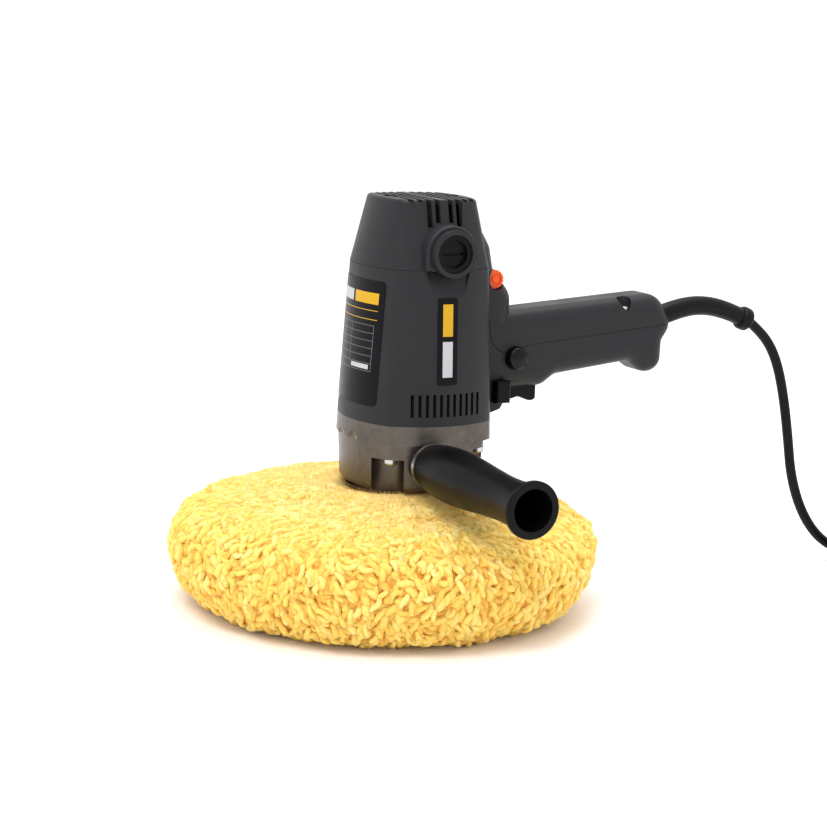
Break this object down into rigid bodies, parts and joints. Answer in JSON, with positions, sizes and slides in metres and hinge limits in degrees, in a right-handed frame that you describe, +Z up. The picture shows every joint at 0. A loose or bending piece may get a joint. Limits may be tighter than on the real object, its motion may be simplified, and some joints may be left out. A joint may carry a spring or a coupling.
{
  "type": "rotary polisher",
  "caption": "Vertical-motor rotary polisher with a lambswool bonnet, screw-in side grip, rear trigger handle, speed dial and supply cord.",
  "frame": {"origin": "on the spindle axis, at the wool's working face, which is what the polisher rests on", "axes": "+Z up along the spindle, +X towards the rear handle and the cord, -Y towards the side grip"},
  "size_m": [0.5277, 0.2854, 0.242],
  "materials": {
    "charcoal_shell": "fine-textured moulded plastic",
    "black_plastic": "satin black moulding",
    "gloss_black": "smooth gloss",
    "orange_plastic": "smooth moulding",
    "label_film": "printed film, blank",
    "cast_alloy": "as-cast, tumbled",
    "steel": "ground",
    "lamination_steel": "varnished lamination stack",
    "copper_winding": "enamelled wire",
    "brass": "drawn",
    "carbon": "pressed carbon",
    "rubber": "moulded rubber",
    "pad_rubber": "firm moulded rubber",
    "wool": "curly lamb's wool pile",
    "cord_sheath": "matt rubber sheath",
    "felt": "pressed felt"
  },
  "bodies": {
    "housing": {"spindle_bearing_outer_ring": "steel", "spindle_bush": "brass", "spindle_seal": "felt", "bearing_cover": "cast_alloy", "bearing_cover_screws": "steel", "gear_housing": "cast_alloy", "bearing_bracket": "cast_alloy", "housing_screws": "steel", "side_handle_collar": "steel", "side_handle_grip": "black_plastic", "side_handle_stud": "steel", "rotor_bearing_lower_outer_ring": "steel", "rotor_bearing_upper_outer_ring": "steel", "stator_core": "lamination_steel", "stator_windings": "copper_winding", "fan_baffle": "black_plastic", "motor_housing": "charcoal_shell", "handle_cover": "charcoal_shell", "handle_screws": "steel", "top_cap": "charcoal_shell", "cap_screws": "steel", "brush_holders": "brass", "carbon_brushes": "carbon", "brush_caps": "black_plastic", "brush_springs": "steel", "trigger_spring": "steel", "switch_body": "black_plastic", "speed_controller": "black_plastic", "capacitor": "black_plastic", "labels": "label_film", "cord_guard": "rubber", "power_cord": "cord_sheath", "cord_tail": "cord_sheath", "cord_coil": "cord_sheath", "cord_tie": "black_plastic", "plug_body": "rubber", "plug_pins": "brass", "supply_lead": "cord_sheath", "cord_clamp": "black_plastic"},
    "spindle": {"wool_bonnet": "wool", "backing_pad": "pad_rubber", "pad_hub": "steel", "output_spindle": "steel", "gear_key": "steel", "spindle_gear": "steel", "spindle_bearing_inner_ring": "steel", "spindle_bearing_balls": "steel"},
    "armature": {"armature_shaft": "steel", "armature_core": "lamination_steel", "armature_windings": "copper_winding", "commutator": "brass", "cooling_fan": "black_plastic", "rotor_bearing_lower_inner_ring": "steel", "rotor_bearing_lower_balls": "steel", "rotor_bearing_upper_inner_ring": "steel", "rotor_bearing_upper_balls": "steel"},
    "trigger": {"trigger": "black_plastic"},
    "lock_button": {"lock_button": "gloss_black"},
    "lock_off_slide": {"lock_off_slide": "black_plastic"},
    "speed_dial": {"speed_dial": "orange_plastic"}
  },
  "joints": [
    {"name": "spindle_spin", "type": "hinge", "parent": "housing", "child": "spindle", "pos_m": [0, 0, 0.08], "axis": [0, 0, 1], "continuous": true},
    {"name": "armature_spin", "type": "hinge", "parent": "housing", "child": "armature", "pos_m": [0.0176, 0, 0.15], "axis": [0, 0, 1], "continuous": true},
    {"name": "trigger_pull", "type": "slide", "parent": "housing", "child": "trigger", "axis": [0, 0, 1], "range_m": [0, 0.006], "stiffness_N_per_m": 900, "springref_m": -0.004, "deforming": ["trigger_spring"]},
    {"name": "lock_button_press", "type": "slide", "parent": "housing", "child": "lock_button", "axis": [0, 1, 0], "range_m": [0, 0.003], "stiffness_N_per_m": 500, "springref_m": -0.002},
    {"name": "lock_off_slide_move", "type": "slide", "parent": "housing", "child": "lock_off_slide", "axis": [0, 0, 1], "range_m": [0, 0.005]},
    {"name": "speed_dial_turn", "type": "hinge", "parent": "housing", "child": "speed_dial", "pos_m": [0.0632, 0, 0.1932], "axis": [0, 1, 0], "range_deg": [0, 270]}
  ],
  "couplings": [
    {"joint": "armature_spin", "follows": "spindle_spin", "ratio": -4.5}
  ]
}
